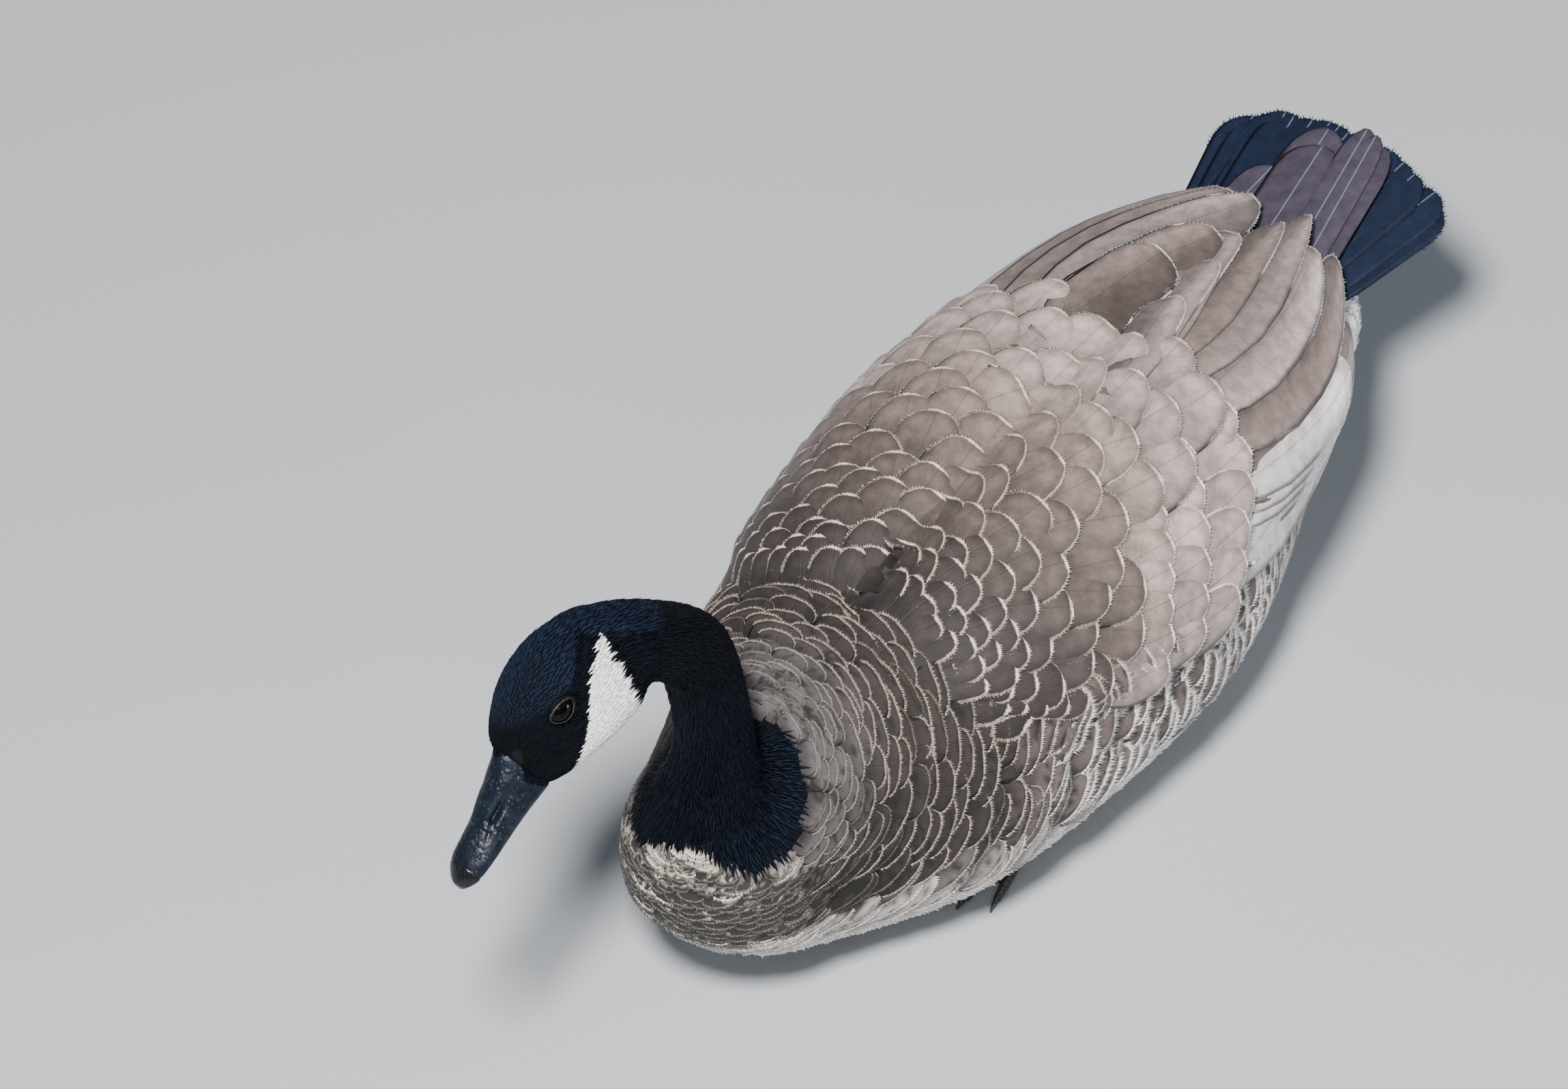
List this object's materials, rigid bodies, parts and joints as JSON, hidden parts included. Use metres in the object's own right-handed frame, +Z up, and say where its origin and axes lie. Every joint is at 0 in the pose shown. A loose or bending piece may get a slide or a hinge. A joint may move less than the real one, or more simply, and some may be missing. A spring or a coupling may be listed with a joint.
{
  "type": "canada goose",
  "caption": "Life-size still model of a Canada goose at rest as on water, with its neck arched and its bill lowered to the front left.",
  "frame": {"origin": "middle of the footprint, on the floor that the belly rests on", "axes": "+Z up, the tail towards +Y, the bill towards -Y, the bird's left side towards +X"},
  "size_m": [0.2552, 0.706, 0.336],
  "materials": {
    "plumage_brown": "soft brown-grey body feathers with pale buff edges",
    "plumage_black": "black hair-like neck and head feathers with a cold blue sheen and a white cheek",
    "wing_feather": "taupe vanes with pale edges",
    "tail_feather": "blue-black vanes with a satin sheen",
    "leg_skin": "black scaled skin",
    "eye": "dark brown wet eye",
    "bill_horn": "satin black horn with pores",
    "bill_nail": "polished black horn"
  },
  "bodies": {
    "root": {"torso": "plumage_brown", "neck_lower": "plumage_black", "neck_middle": "plumage_black", "neck_upper": "plumage_black", "wing_left": "wing_feather", "wing_right": "wing_feather", "tail": "tail_feather", "leg_left": "leg_skin", "leg_right": "leg_skin", "foot_left": "leg_skin", "foot_right": "leg_skin", "head": "plumage_black", "eye_left": "eye", "eye_right": "eye", "bill_upper": "bill_horn", "bill_lower": "bill_horn", "bill_nail": "bill_nail"}
  },
  "joints": []
}
